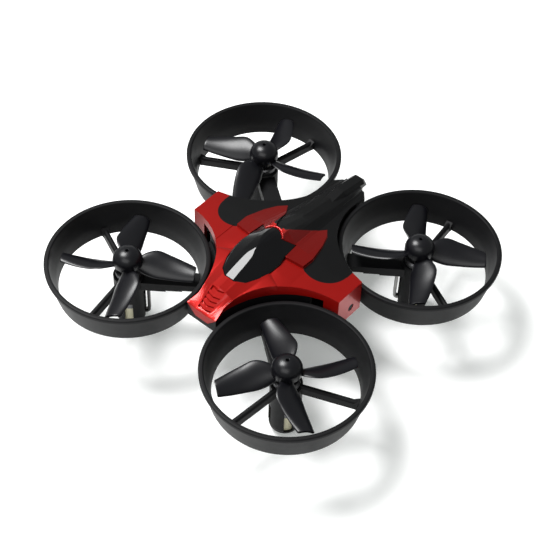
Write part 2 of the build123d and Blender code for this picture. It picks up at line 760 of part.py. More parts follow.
with BuildPart() as board_screws:
    for x, y in BOSS_POINTS:
        with BuildSketch(Plane.XY.offset(RIM_Z + TRAY_FLOOR + 0.9)):
            with Locations((x, y)):
                Circle(SCREW_R - 0.02)
        extrude(amount=board_top - RIM_Z - TRAY_FLOOR - 0.9)
        with BuildSketch(Plane.XY.offset(board_top + 0.02)):
            with Locations((x, y)):
                Circle(1.05)
        extrude(amount=0.6)
        with BuildSketch(Plane.XY.offset(board_top)):
            with Locations((x, y)):
                Circle(SCREW_R - 0.02)
        extrude(amount=0.1)
        with BuildSketch(Plane.XY.offset(board_top + 0.4)):
            with Locations((x, y)):
                Rectangle(1.2, 0.28)
                Rectangle(0.28, 1.2)
        extrude(amount=0.4, mode=Mode.SUBTRACT)
finish(board_screws, "board_screws")


def chip(name, places, width, length, height, edge=0.15):
    with BuildPart() as package:
        with BuildSketch(Plane.XY.offset(board_top)):
            with Locations(*places):
                Rectangle(width, length)
        extrude(amount=height)
        chamfer(package.faces().filter_by(Axis.Z).group_by(Axis.Z)[-1].edges(), edge)
    finish(package, name)


chip("flight_controller_chip", [(-1.8, 0.5)], 5.0, 5.0, 0.9)
chip("radio_chip", [(4.6, -3.2)], 4.0, 4.0, 0.8)
chip("motion_sensor", [(0.0, 5.6)], 3.0, 3.0, 0.9)
chip("radio_crystal", [(5.0, 1.6)], 3.2, 2.5, 0.7)
chip("motor_transistors", [(6.0, 6.4), (6.0, -6.6), (-6.0, 6.4), (-6.0, -6.6)], 1.6, 2.8, 1.0)
chip("board_capacitors", [(-6.2, 2.0), (-6.2, -0.6), (1.6, -5.6), (2.2, 2.6)], 1.6, 0.9, 0.8)
chip("status_lamps", [(9.4, -3.4), (-9.4, -3.4), (9.4, 3.4), (-9.4, 3.4)], 1.2, 1.9, 0.7, 0.1)

# ------------------------------------------------------------------ battery connector
SOCKET_REAR = 30.2
SOCKET_FRONT = 24.4
SOCKET_BOTTOM = -2.35
SOCKET_HEIGHT = 2.1
SOCKET_WIDTH = 3.6
with BuildPart() as socket:
    with BuildSketch(Plane.XZ.offset(-SOCKET_REAR)):
        with Locations((0, RIM_Z + SOCKET_BOTTOM + SOCKET_HEIGHT / 2)):
            RectangleRounded(SOCKET_WIDTH, SOCKET_HEIGHT, 0.25)
    extrude(amount=SOCKET_REAR - SOCKET_FRONT)
    with BuildSketch(Plane.XZ.offset(-SOCKET_REAR)):
        with Locations((0, RIM_Z + SOCKET_BOTTOM + SOCKET_HEIGHT / 2)):
            Rectangle(SOCKET_WIDTH - 0.8, SOCKET_HEIGHT - 0.8)
    extrude(amount=3.8, mode=Mode.SUBTRACT)
finish(socket, "battery_socket")

with BuildPart() as socket_pins:
    with BuildSketch(Plane.XZ.offset(-SOCKET_REAR + 0.6)):
        with Locations((-0.62, RIM_Z + SOCKET_BOTTOM + SOCKET_HEIGHT / 2),
                       (0.62, RIM_Z + SOCKET_BOTTOM + SOCKET_HEIGHT / 2)):
            Rectangle(0.4, 0.4)
    extrude(amount=3.2)
finish(socket_pins, "socket_pins")

with BuildPart() as socket_leads:
    for lead_x in (-0.7, 0.7):
        with BuildLine() as lead_path:
            FilletPolyline(
                (lead_x, SOCKET_FRONT, RIM_Z - 1.3),
                (lead_x, 21.5, RIM_Z - 1.3),
                (lead_x * 1.6, 14.0, RIM_Z - 3.4),
                (lead_x * 1.6, 8.0, RIM_Z - 4.7),
                radius=3.0,
            )
        with BuildSketch(Plane(origin=lead_path.line @ 0, z_dir=lead_path.line % 0)):
            Circle(WIRE_R + 0.05)
        sweep(path=lead_path.line)
finish(socket_leads, "socket_leads")


# ------------------------------------------------------------------ canopy
# station y, then x and height of the break lines from the centre outwards
TOP_STATIONS = (
    (-26.0, ((0, -0.3), (1.8, -0.35), (3.0, 0.1), (4.2, 0.5), (9.0, 0.8), (24.0, 0.2))),
    (-24.3, ((0, 0.6), (1.8, 0.45), (3.0, 0.7), (4.2, 0.95), (9.0, 1.2), (24.0, 0.6))),
    (-19.0, ((0, 4.0), (1.9, 3.6), (3.0, 3.15), (4.0, 2.7), (9.0, 2.9), (24.0, 1.6))),
    (-15.6, ((0, 4.3), (2.0, 4.0), (3.3, 3.6), (4.7, 3.2), (9.0, 3.2), (24.0, 1.8))),
    (-10.0, ((0, 5.0), (2.0, 4.8), (4.3, 4.1), (5.6, 3.8), (9.2, 3.35), (24.0, 1.85))),
    (-2.4, ((0, 6.2), (2.0, 6.0), (4.9, 4.05), (6.2, 3.8), (10.0, 3.25), (24.0, 1.85))),
    (1.6, ((0, 6.9), (2.1, 6.7), (4.6, 4.05), (6.2, 3.75), (10.0, 3.2), (24.0, 1.85))),
    (9.5, ((0, 4.4), (2.6, 4.2), (3.9, 3.1), (4.8, 2.7), (9.2, 2.6), (24.0, 1.8))),
    (19.5, ((0, 2.7), (2.6, 2.4), (3.2, 1.9), (3.9, 1.3), (6.0, 1.2), (24.0, 1.2))),
    (29.2, ((0, 1.6), (2.2, 1.2), (2.4, 0.75), (2.6, 0.3), (6.0, 0.0), (24.0, 0.0))),
)


def top_block(stations, drop, bottom):
    """Solid under the faceted top: cross-sections along Y joined by ruled faces."""
    sections = []
    for y, breaks in stations:
        points = [(x, RIM_Z + z - drop) for x, z in breaks]
        edge_x = points[-1][0]
        right = points + [(edge_x, RIM_Z + bottom)]
        left = [(-x, z) for x, z in reversed(right) if x > 0]
        with BuildSketch(Plane(origin=(0, y, 0), x_dir=(1, 0, 0), z_dir=(0, -1, 0))) as section:
            with BuildLine():
                Polyline(*right, *left, close=True)
            make_face()
        sections.append(section.sketch)
    with BuildPart() as block:
        loft(sections, ruled=True)
    return block.part


# glossy cockpit cover set into the canopy: plan and faceted top
COCKPIT_HALF = ((0, -15.6), (1.3, -15.6), (3.4, -14.0), (4.8, -11.0), (5.6, -7.5), (5.7, -4.9),
                (5.3, -3.2), (4.9, 1.5), (2.35, -0.9), (1.9, -0.2), (1.1, 0.35), (0, 0.55))
COCKPIT_STATIONS = (
    (-16.5, ((0, 4.0), (1.2, 3.9), (2.6, 3.2), (4.0, 2.6), (9.0, 1.8))),
    (-14.0, ((0, 4.9), (1.15, 4.8), (2.9, 4.0), (4.2, 3.4), (9.0, 2.4))),
    (-9.0, ((0, 6.35), (0.95, 6.25), (2.5, 5.5), (5.2, 4.0), (9.0, 2.9))),
    (-6.6, ((0, 7.0), (0.15, 7.0), (2.3, 6.2), (5.6, 4.2), (9.0, 3.0))),
    (-3.2, ((0, 7.6), (1.1, 7.4), (2.3, 6.6), (5.6, 4.5), (9.0, 3.0))),
    (-0.9, ((0, 7.7), (1.1, 7.5), (2.3, 6.8), (4.9, 4.7), (9.0, 3.1))),
    (2.6, ((0, 6.9), (1.1, 6.7), (2.3, 6.2), (5.2, 4.3), (9.0, 3.2))),
)

# rounded rim behind the cockpit: points of its centre line, and its radius
HOOP_LINE = ((-2.7, -1.05, 6.3), (-1.95, 0.2, 6.95), (0, 0.95, 7.25), (1.95, 0.2, 6.95), (2.7, -1.05, 6.3))
HOOP_R = 0.28

# creases across the top, from the cockpit side down to the waist: x, then y and height of
# the top of the front flank, the bottom of the crease, and its rear end at the panel
CREASE_SECTIONS = (
    (4.4, ((-9.5, 4.15), (-7.7, 3.75), (-2.7, 4.55))),
    (10.8, ((-10.9, 3.25), (-10.5, 3.1), (-2.0, 3.05))),
)


def creases():
    sections = []
    for x, line in CREASE_SECTIONS:
        with BuildSketch(Plane(origin=(x, 0, RIM_Z), x_dir=(0, 1, 0), z_dir=(1, 0, 0))) as section:
            with BuildLine():
                Polyline(*line, (line[-1][0], 8), (line[0][0], 8), close=True)
            make_face()
        sections.append(section.sketch)
    with BuildPart() as cutters:
        loft(sections, ruled=True)
        mirror(about=Plane.YZ)
    return cutters.part



# raised red panels beside the cockpit
PANEL_HALF = ((0.9, 1.2), (4.6, -2.9), (9.8, -1.9), (9.9, 1.3), (8.7, 6.2), (7.4, 9.4),
              (5.9, 11.4), (4.4, 9.0))
PANEL_LIFT = (0.75, 0.75, 0.75, 0.75, 0.75, 0.75, 0.7, 0.3, 0.12, 0.12)   # at each top station

# the narrow fin that runs out over the battery connector
FIN_HALF = 1.9
FIN_SIDE = ((16.0, 2.3), (23.5, 3.0), (30.9, 1.75), (31.5, 1.2), (31.5, -0.15), (27.0, -0.15),
            (16.0, 1.0))
FIN_BEVEL = 0.8

# nose vent: a chevron-ended recess with cross slats
VENT_HALF = 1.75
VENT_REAR = -19.0
VENT_FRONT = -24.0
VENT_DEPTH = 0.55
SLAT_COUNT = 4

with BuildPart() as panels:
    raised = []
    for (station_y, breaks), lift in zip(TOP_STATIONS, PANEL_LIFT):
        raised.append((station_y, tuple((x, z + lift) for x, z in breaks)))
    add(top_block(raised, 0, SHOULDER_SKIRT_Z))
    with BuildSketch(Plane.XY.offset(RIM_Z + 0.8)):
        with BuildLine():
            Polyline(*PANEL_HALF, close=True)
        make_face()
        mirror(about=Plane.YZ)
    extrude(amount=12, mode=Mode.INTERSECT)

with BuildPart() as cockpit_hole:
    with BuildSketch(Plane.XY.offset(RIM_Z)):
        with BuildLine():
            Polyline(*mirrored(COCKPIT_HALF), close=True)
        make_face()
        offset(amount=0.06, kind=Kind.INTERSECTION)
    extrude(amount=12)

with BuildPart() as fin:
    with BuildSketch(Plane.YZ.offset(-FIN_HALF)):
        with BuildLine():
            Polyline(*[(y, RIM_Z + z) for y, z in FIN_SIDE], close=True)
        make_face()
    extrude(amount=2 * FIN_HALF)
    long_edges = [
        edge
        for edge in fin.edges()
        if abs(edge.center().X) > FIN_HALF - 0.01 and edge.center().Z > RIM_Z + 0.9 and edge.center().Y > 17
    ]
    chamfer(long_edges, FIN_BEVEL)

with BuildPart() as hoop:
    with BuildLine() as hoop_path:
        Spline(*[(x, y, RIM_Z + z) for x, y, z in HOOP_LINE])
    with BuildSketch(Plane(origin=hoop_path.line @ 0, z_dir=hoop_path.line % 0)):
        Circle(HOOP_R)
    sweep(path=hoop_path.line)

with BuildPart() as canopy:
    add(top_block(TOP_STATIONS, 0, SHOULDER_SKIRT_Z))
    add(plan_prism(0, SHOULDER_SKIRT_Z, 12), mode=Mode.INTERSECT)
    add(creases(), mode=Mode.SUBTRACT)
    add(panels.part)
    add(hoop.part)
    add(fin.part)
    add(plan_prism(SHELL, SHOULDER_SKIRT_Z - 1, 12).intersect(
        top_block(TOP_STATIONS, SHELL, SHOULDER_SKIRT_Z - 1)), mode=Mode.SUBTRACT)
    # the wall is deep only at the shoulders
    with BuildSketch(Plane.XY.offset(RIM_Z + SHOULDER_SKIRT_Z - 1)):
        Rectangle(2 * SHOULDER_SKIRT_X, 80)
    extrude(amount=SKIRT_Z - SHOULDER_SKIRT_Z + 1, mode=Mode.SUBTRACT)
    # and shallow round the nose and the front ducts, but for the tongue at the nose
    band = front_band(-0.3, SHELL, LIP_HALF, SHOULDER_SKIRT_Z - 1, LIP_Z)
    add(band - nose_tongue(0), mode=Mode.SUBTRACT)
    # opening for the cockpit cover
    add(cockpit_hole.part, mode=Mode.SUBTRACT)
    # snap holes in the shoulder ends
    with BuildSketch(Plane.YZ.offset(-SHOULDER_X - 1)):
        with Locations((PEG_Y, RIM_Z + PEG_Z)):
            Circle(PEG_HOLE_R)
    extrude(amount=2 * SHOULDER_X + 2, mode=Mode.SUBTRACT)
    # opening in the tail wall for the battery connector
    with BuildSketch(Plane.XZ.offset(-32)):
        with Locations((0, RIM_Z + SOCKET_BOTTOM + SOCKET_HEIGHT / 2)):
            Rectangle(SOCKET_WIDTH + 0.2, SOCKET_HEIGHT + 0.3)
    extrude(amount=6, mode=Mode.SUBTRACT)
    # nose vent
    with BuildSketch(Plane.XY.offset(RIM_Z - 3)):
        with BuildLine():
            Polyline(
                (0, VENT_REAR - 0.5),
                (VENT_HALF, VENT_REAR),
                (VENT_HALF, VENT_FRONT),
                (-VENT_HALF, VENT_FRONT),
                (-VENT_HALF, VENT_REAR),
                close=True,
            )
        make_face()
    vent_block = extrude(amount=12, mode=Mode.PRIVATE)
    vent_floor = top_block(TOP_STATIONS, VENT_DEPTH, SHOULDER_SKIRT_Z)
    add(vent_block.cut(vent_floor), mode=Mode.SUBTRACT)
finish(canopy, "canopy")

with BuildPart() as vent_slats:
    vent_pitch = (VENT_REAR - VENT_FRONT) / (SLAT_COUNT + 1.2)
    for number in range(SLAT_COUNT):
        slat_y = VENT_REAR - 0.9 - number * vent_pitch
        with BuildSketch(Plane.XY.offset(RIM_Z - 3)):
            with BuildLine():
                Polyline(
                    (0, slat_y - 0.5),
                    (VENT_HALF - 0.02, slat_y),
                    (VENT_HALF - 0.02, slat_y - 0.55),
                    (0, slat_y - 1.05),
                    (-VENT_HALF + 0.02, slat_y - 0.55),
                    (-VENT_HALF + 0.02, slat_y),
                    close=True,
                )
            make_face()
        extrude(amount=12)
    add(top_block(TOP_STATIONS, 0.12, SHOULDER_SKIRT_Z), mode=Mode.INTERSECT)
    add(top_block(TOP_STATIONS, VENT_DEPTH, SHOULDER_SKIRT_Z - 1), mode=Mode.SUBTRACT)
finish(vent_slats, "vent_slats")

with BuildPart() as cockpit:
    with BuildSketch(Plane.XY.offset(RIM_Z)):
        with BuildLine():
            Polyline(*mirrored(COCKPIT_HALF), close=True)
        make_face()
    extrude(amount=12)
    add(top_block(COCKPIT_STATIONS, 0, -2), mode=Mode.INTERSECT)
    add(top_block(COCKPIT_STATIONS, 2.6, -3), mode=Mode.SUBTRACT)
finish(cockpit, "cockpit_cover")
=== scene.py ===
import json
import math

import bmesh
import bpy
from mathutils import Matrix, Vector


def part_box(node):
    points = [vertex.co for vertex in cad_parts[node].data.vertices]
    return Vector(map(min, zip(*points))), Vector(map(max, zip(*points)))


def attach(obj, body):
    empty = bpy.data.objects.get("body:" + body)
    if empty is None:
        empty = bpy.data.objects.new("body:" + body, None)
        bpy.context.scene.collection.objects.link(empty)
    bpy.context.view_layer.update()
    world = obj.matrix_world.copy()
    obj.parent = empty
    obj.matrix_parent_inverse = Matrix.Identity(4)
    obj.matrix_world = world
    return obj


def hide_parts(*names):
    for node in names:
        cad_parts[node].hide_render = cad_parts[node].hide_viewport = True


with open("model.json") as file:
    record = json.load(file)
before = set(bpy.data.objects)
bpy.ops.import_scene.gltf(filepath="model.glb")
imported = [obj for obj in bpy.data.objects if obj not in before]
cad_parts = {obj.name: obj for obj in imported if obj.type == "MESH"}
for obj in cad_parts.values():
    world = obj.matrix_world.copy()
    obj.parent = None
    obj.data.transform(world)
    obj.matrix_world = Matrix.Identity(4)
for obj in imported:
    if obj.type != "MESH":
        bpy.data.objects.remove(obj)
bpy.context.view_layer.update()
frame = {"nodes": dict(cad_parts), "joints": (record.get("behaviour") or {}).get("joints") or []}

MM = 0.001               # millimetres to metres
CORNERS = ("front_left", "front_right", "rear_left", "rear_right")
AXIS = {}
for joint in frame["joints"]:
    if joint["name"].startswith("spin_"):
        AXIS[joint["name"][5:]] = Vector(joint["pos_m"])
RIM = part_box("duct_ring_front_left")[1][2]   # height of the duct rims
SPACING = AXIS["front_left"].x               # each motor axis from the centre

# blade turning sense seen from above and rest angle in degrees, as in the CAD model
SENSE = {"front_left": -1, "front_right": 1, "rear_left": 1, "rear_right": -1}
PHASE = {"front_left": 53.5, "front_right": 33.5, "rear_left": 37.0, "rear_right": 17.0}

scene = bpy.context.scene
scene.view_settings.view_transform = "Standard"


# ---------------------------------------------------------------- camera, floor and light
CAMERA_PLACE = (5.727, -7.107, 9.768)        # in motor spacings, from the middle of the rim plane
CAMERA_TURN = (42.10, -1.54, 40.50)          # degrees
LIGHT_TARGET = (0.0, 0.0, 0.012)
FLOOR_HALF = 3.0


def make_camera():
    data = bpy.data.cameras.new("camera")
    data.sensor_width = 36.0
    data.lens = 90.72
    obj = bpy.data.objects.new("camera", data)
    scene.collection.objects.link(obj)
    obj.rotation_euler = [math.radians(a) for a in CAMERA_TURN]
    obj.location = Vector(CAMERA_PLACE) * SPACING + Vector((0, 0, RIM))
    scene.camera = obj


def softbox(name, direction, distance, size, power):
    """Rectangular area light at a distance from the aircraft, facing it."""
    data = bpy.data.lights.new(name, "AREA")
    data.shape = "RECTANGLE"
    data.size = size[0]
    data.size_y = size[1]
    data.energy = power
    obj = bpy.data.objects.new(name, data)
    scene.collection.objects.link(obj)
    towards = Vector(direction).normalized()
    obj.location = Vector(LIGHT_TARGET) + towards * distance
    obj.rotation_euler = towards.to_track_quat("Z", "Y").to_euler()


def make_stage():
    """Pale floor, pale surroundings and two soft lights."""
    bm = bmesh.new()
    bmesh.ops.create_grid(bm, x_segments=4, y_segments=4, size=FLOOR_HALF)
    mesh = bpy.data.meshes.new("floor")
    bm.to_mesh(mesh)
    bm.free()
    floor = bpy.data.objects.new("floor", mesh)
    scene.collection.objects.link(floor)
    mat = bpy.data.materials.new("floor_white")
    mat.use_nodes = True
    shader = mat.node_tree.nodes["Principled BSDF"]
    shader.inputs["Base Color"].default_value = (0.90, 0.90, 0.90, 1)
    shader.inputs["Roughness"].default_value = 0.6
    shader.inputs["Specular IOR Level"].default_value = 0.2
    shader.inputs["Emission Color"].default_value = (0.95, 1.0, 0.97, 1)
    shader.inputs["Emission Strength"].default_value = 0.22
    mesh.materials.append(mat)
    world = bpy.data.worlds.new("studio")
    world.use_nodes = True
    background = world.node_tree.nodes["Background"]
    background.inputs["Color"].default_value = (0.97, 1.0, 0.98, 1)
    background.inputs["Strength"].default_value = 0.30
    scene.world = world
    softbox("key", (-0.47, -0.10, 0.87), 0.60, (0.26, 0.26), 5.4)
    softbox("front_fill", (0.22, -0.66, 0.72), 0.80, (0.7, 0.4), 2.3)


# ---------------------------------------------------------------- node helpers
class Field:
    """A number that varies over the surface, made of Math nodes."""

    def __init__(self, tree, socket):
        self.tree = tree
        self.socket = socket

    def math(self, operation, other=None):
        node = self.tree.nodes.new("ShaderNodeMath")
        node.operation = operation
        for slot_index, value in enumerate((self, other)):
            if value is None:
                continue
            if isinstance(value, Field):
                self.tree.links.new(value.socket, node.inputs[slot_index])
            else:
                node.inputs[slot_index].default_value = value
        return Field(self.tree, node.outputs[0])

    def __add__(self, other):
        return self.math("ADD", other)

    def __sub__(self, other):
        return self.math("SUBTRACT", other)

    def __mul__(self, other):
        return self.math("MULTIPLY", other)

    def minimum(self, other):
        return self.math("MINIMUM", other)

    def maximum(self, other):
        return self.math("MAXIMUM", other)

    def absolute(self):
        return self.math("ABSOLUTE")

    def step(self, width):
        """1 where this is below zero, 0 above, with an edge of a given width."""
        node = self.tree.nodes.new("ShaderNodeMapRange")
        node.interpolation_type = "SMOOTHSTEP"
        node.inputs["From Min"].default_value = -width
        node.inputs["From Max"].default_value = width
        node.inputs["To Min"].default_value = 1.0
        node.inputs["To Max"].default_value = 0.0
        self.tree.links.new(self.socket, node.inputs["Value"])
        return Field(self.tree, node.outputs["Result"])

    def span(self, low, high):
        """This 0 to 1 field stretched between two numbers."""
        node = self.tree.nodes.new("ShaderNodeMapRange")
        node.inputs["To Min"].default_value = low
        node.inputs["To Max"].default_value = high
        self.tree.links.new(self.socket, node.inputs["Value"])
        return Field(self.tree, node.outputs["Result"])


def position_fields(tree):
    """x and y in millimetres in the aircraft's own frame."""
    coords = tree.nodes.new("ShaderNodeTexCoord")
    split = tree.nodes.new("ShaderNodeSeparateXYZ")
    tree.links.new(coords.outputs["Object"], split.inputs[0])
    return [Field(tree, split.outputs[i]) * 1000.0 for i in range(2)]


def noise(tree, scale, detail=3.0, rough=0.55, stretch=None):
    """Noise from 0 to 1 in the aircraft's own frame; stretch makes it a grain along an axis."""
    coords = tree.nodes.new("ShaderNodeTexCoord")
    node = tree.nodes.new("ShaderNodeTexNoise")
    node.inputs["Scale"].default_value = scale
    node.inputs["Detail"].default_value = detail
    node.inputs["Roughness"].default_value = rough
    if stretch:
        mapping = tree.nodes.new("ShaderNodeMapping")
        mapping.inputs["Scale"].default_value = stretch
        tree.links.new(coords.outputs["Object"], mapping.inputs["Vector"])
        tree.links.new(mapping.outputs[0], node.inputs["Vector"])
    else:
        tree.links.new(coords.outputs["Object"], node.inputs["Vector"])
    return Field(tree, node.outputs["Fac"])


def blend_colours(tree, factor, first, second):
    """Output socket that goes from the first colour to the second; each is a tuple or a socket."""
    node = tree.nodes.new("ShaderNodeMix")
    node.data_type = "RGBA"
    for socket, value in ((node.inputs[6], first), (node.inputs[7], second)):
        if hasattr(value, "is_output"):
            tree.links.new(value, socket)
        else:
            socket.default_value = (*value, 1)
    tree.links.new(factor.socket, node.inputs[0])
    return node.outputs[2]


def bump(tree, shader, height, strength, distance):
    node = tree.nodes.new("ShaderNodeBump")
    node.inputs["Strength"].default_value = strength
    node.inputs["Distance"].default_value = distance
    tree.links.new(height.socket, node.inputs["Height"])
    tree.links.new(node.outputs[0], shader.inputs["Normal"])


def material(name, colour, variation=0.12, roughness=(0.35, 0.5), metallic=0.0, grain=9000.0,
             grain_height=0.004, bump_strength=0.25, specular=0.5, stretch=None, tone_scale=120.0):
    """Principled material whose colour, gloss and fine relief all vary a little, as mouldings do."""
    mat = bpy.data.materials.new(name)
    mat.use_nodes = True
    tree = mat.node_tree
    shader = tree.nodes["Principled BSDF"]
    tone = noise(tree, tone_scale, 4.0)
    darker = [c * (1 - variation) for c in colour]
    lighter = [min(1.0, c * (1 + variation)) for c in colour]
    tree.links.new(blend_colours(tree, tone, darker, lighter), shader.inputs["Base Color"])
    patch = noise(tree, tone_scale * 3.7, 5.0, 0.6)
    tree.links.new(patch.span(*roughness).socket, shader.inputs["Roughness"])
    shader.inputs["Metallic"].default_value = metallic
    shader.inputs["Specular IOR Level"].default_value = specular
    fine = noise(tree, grain, 2.0, 0.5, stretch)
    bump(tree, shader, fine, bump_strength, grain_height * MM)
    return mat


# ---------------------------------------------------------------- paint of the canopy
# plan points in millimetres, for one side; the other side mirrors them
RED_PANEL = ((1.5, 0.8), (3.6, -3.2), (9.9, -2.0), (10.0, 1.3),
             (8.8, 6.2), (7.5, 9.5), (5.9, 11.5), (4.3, 9.0))
SCALLOP_CENTRE = (12.5, 3.1)
SCALLOP_R = 5.75
SCALLOP_OUTER_X = 18.35      # behind the scallop's middle, black reaches out to here
REAR_START_Y = 1.45          # between the scallops, black starts here
REAR_HALF = 7.0
PANEL_CORNER = (9.9, -1.5)   # nothing inside and in front of this is black
PAINT_EDGE = 0.10            # half the width of the blend between two paints
PANEL_EDGE = 0.12
RED = ((0.29, 0.0035, 0.002), (0.34, 0.005, 0.003))
# darker red for the raised panels: painted shade, standing in for the lesser light that falls on them
SHADED_PANEL_RED = ((0.17, 0.003, 0.002), (0.21, 0.004, 0.0025))
BLACK = ((0.0018, 0.0018, 0.002), (0.0025, 0.0025, 0.0028))
WALL_START = 0.6             # how squarely a wall has to face forwards to lose its gloss
WALL_SLOPE = 5.0


def inside_polygon(x, y, points):
    """Signed field, negative inside a convex polygon given anticlockwise."""
    result = None
    for (x0, y0), (x1, y1) in zip(points, points[1:] + points[:1]):
        length = math.hypot(x1 - x0, y1 - y0)
        nx = (y1 - y0) / length
        ny = -(x1 - x0) / length
        edge = x * nx + y * ny + (-(x0 * nx + y0 * ny))
        result = edge if result is None else result.maximum(edge)
    return result


def canopy_paint():
    """Metallic red with a clear coat, a darker red on the raised panels as painted shade, and satin
    black.
    """
    mat = bpy.data.materials.new("canopy_paint")
    mat.use_nodes = True
    tree = mat.node_tree
    shader = tree.nodes["Principled BSDF"]
    x, y = position_fields(tree)
    x = x.absolute()
    dx = x - SCALLOP_CENTRE[0]
    dy = y - SCALLOP_CENTRE[1]
    circle = (dx * dx + dy * dy).math("SQRT") - SCALLOP_R
    behind = (x - SCALLOP_OUTER_X).maximum(dy * -1.0)
    centre = (x - REAR_HALF).maximum(y * -1.0 + REAR_START_Y)
    black = circle.minimum(behind).minimum(centre)
    panel = inside_polygon(x, y, RED_PANEL)
    corner = (x * -1.0 + PANEL_CORNER[0]).minimum(y * -1.0 + PANEL_CORNER[1])
    black = black.maximum(panel * -1.0).maximum(corner)
    mask = black.step(PAINT_EDGE)
    tone = noise(tree, 90.0, 3.0)
    bright = blend_colours(tree, tone, *RED)
    # the raised panels take the darker red, which is painted shade
    panel_shade = blend_colours(tree, tone, *SHADED_PANEL_RED)
    red = blend_colours(tree, panel.step(PANEL_EDGE), bright, panel_shade)
    dark = blend_colours(tree, tone, *BLACK)
    tree.links.new(blend_colours(tree, mask, red, dark), shader.inputs["Base Color"])
    patch = noise(tree, 300.0, 4.0, 0.6)
    tree.links.new(patch.span(0.30, 0.36).socket, shader.inputs["Roughness"])
    shader.inputs["Specular IOR Level"].default_value = 0.22
    geometry = tree.nodes.new("ShaderNodeNewGeometry")
    facing = tree.nodes.new("ShaderNodeSeparateXYZ")
    tree.links.new(geometry.outputs["Normal"], facing.inputs[0])
    forwards = Field(tree, facing.outputs[1]) * -1.0
    front_wall = ((forwards - WALL_START) * WALL_SLOPE).maximum(0.0).minimum(1.0)
    painted = (mask * -1.0 + 1.0) * (front_wall * -0.8 + 1.0)
    tree.links.new((painted * 0.55).socket, shader.inputs["Metallic"])
    tree.links.new((painted * 0.28).socket, shader.inputs["Coat Weight"])
    shader.inputs["Coat Roughness"].default_value = 0.06
    orange_peel = noise(tree, 2600.0, 2.0)
    bump(tree, shader, orange_peel, 0.12, 0.006 * MM)
    return mat


# ---------------------------------------------------------------- mesh helpers
MERGE_DISTANCE = 1e-6   # metres
FLAT_ANGLE = 0.4        # CAD faces that bend less than this are joined


def catmull(points, samples):
    """Smooth open curve through 2-D or longer tuples, sampled evenly between neighbours."""
    result = []
    count = len(points)
    for i in range(count - 1):
        p0 = points[max(i - 1, 0)]
        p1 = points[i]
        p2 = points[i + 1]
        p3 = points[min(i + 2, count - 1)]
        for s in range(samples):
            t = s / samples
            row = []
            for a, b, c, d in zip(p0, p1, p2, p3):
                row.append(0.5 * (2 * b + (c - a) * t + (2 * a - 5 * b + 4 * c - d) * t * t
                                  + (3 * b - a - 3 * c + d) * t ** 3))
            result.append(tuple(row))
    result.append(tuple(points[-1]))
    return result


def rounded(points, steps=5, closed=True):
    """2-D outline whose (u, v, radius) corners are replaced by small arcs."""
    result = []
    count = len(points)
    for i, (u, v, radius) in enumerate(points):
        corner = Vector((u, v))
        ends = not closed and i in (0, count - 1)
        if radius <= 0 or ends:
            result.append((u, v))
            continue
        before = Vector(points[i - 1][:2]) - corner
        after = Vector(points[(i + 1) % count][:2]) - corner
        bend = before.angle(after)
        if bend > math.radians(179):
            result.append((u, v))
            continue
        cut = min(radius / math.tan(bend / 2), before.length * 0.45, after.length * 0.45)
        start = corner + before.normalized() * cut
        end = corner + after.normalized() * cut
        for k in range(steps + 1):
            t = k / steps
            p = start * (1 - t) ** 2 + corner * 2 * t * (1 - t) + end * t * t
            result.append((p.x, p.y))
    return result


def lathe(bm, profile, centre, segments, close_profile=True):
    """Revolves (radius, height) points round a vertical axis; radius 0 points are shared."""
    rings = []
    for radius, height in profile:
        if radius < 1e-9:
            rings.append([bm.verts.new(centre + Vector((0, 0, height)))] * segments)
            continue
        ring = []
        for k in range(segments):
            a = 2 * math.pi * k / segments
            offset = Vector((radius * math.cos(a), radius * math.sin(a), height))
            ring.append(bm.verts.new(centre + offset))
        rings.append(ring)
    pairs = list(zip(rings, rings[1:]))
    if close_profile:
        pairs.append((rings[-1], rings[0]))
    for low, high in pairs:
        for k in range(segments):
            n = (k + 1) % segments
            quad = []
            for vert in (low[k], low[n], high[n], high[k]):
                if vert not in quad:
                    quad.append(vert)
            if len(quad) > 2:
                bm.faces.new(quad)


def to_object(bm, name, mats, sharp):
    """Turns a bmesh into a linked object, smooth but for edges over an angle in degrees."""
    bmesh.ops.recalc_face_normals(bm, faces=bm.faces)
    mesh = bpy.data.meshes.new(name)
    bm.to_mesh(mesh)
    bm.free()
    for mat in mats:
        mesh.materials.append(mat)
    mesh.shade_smooth()
    mesh.set_sharp_from_angle(angle=math.radians(sharp))
    obj = bpy.data.objects.new(name, mesh)
    scene.collection.objects.link(obj)
    return obj


def place(obj, body, replaced):
    """Attaches a piece to the body it moves with and hides the CAD node it stands for."""
    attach(obj, body)
    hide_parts(replaced)


def apply_modifiers(obj):
    bpy.context.view_layer.update()
    graph = bpy.context.evaluated_depsgraph_get()
    evaluated = bpy.data.meshes.new_from_object(obj.evaluated_get(graph))
    old = obj.data
    obj.modifiers.clear()
    obj.data = evaluated
    bpy.data.meshes.remove(old)


def cad_copy(node):
    """A bmesh copy of a CAD node's mesh with its flat regions joined into single faces."""
    bm = bmesh.new()
    bm.from_mesh(frame["nodes"][node].data)
    bmesh.ops.remove_doubles(bm, verts=bm.verts, dist=MERGE_DISTANCE)
    bmesh.ops.dissolve_limit(bm, angle_limit=math.radians(FLAT_ANGLE), verts=bm.verts, edges=bm.edges)
    return bm


# ---------------------------------------------------------------- canopy
EDGE_WIDTH = 0.22      # of the rounded edges, in millimetres
EDGE_ANGLE = 9.0       # edges that bend more than this are rounded
SHARP_ANGLE = 30.0


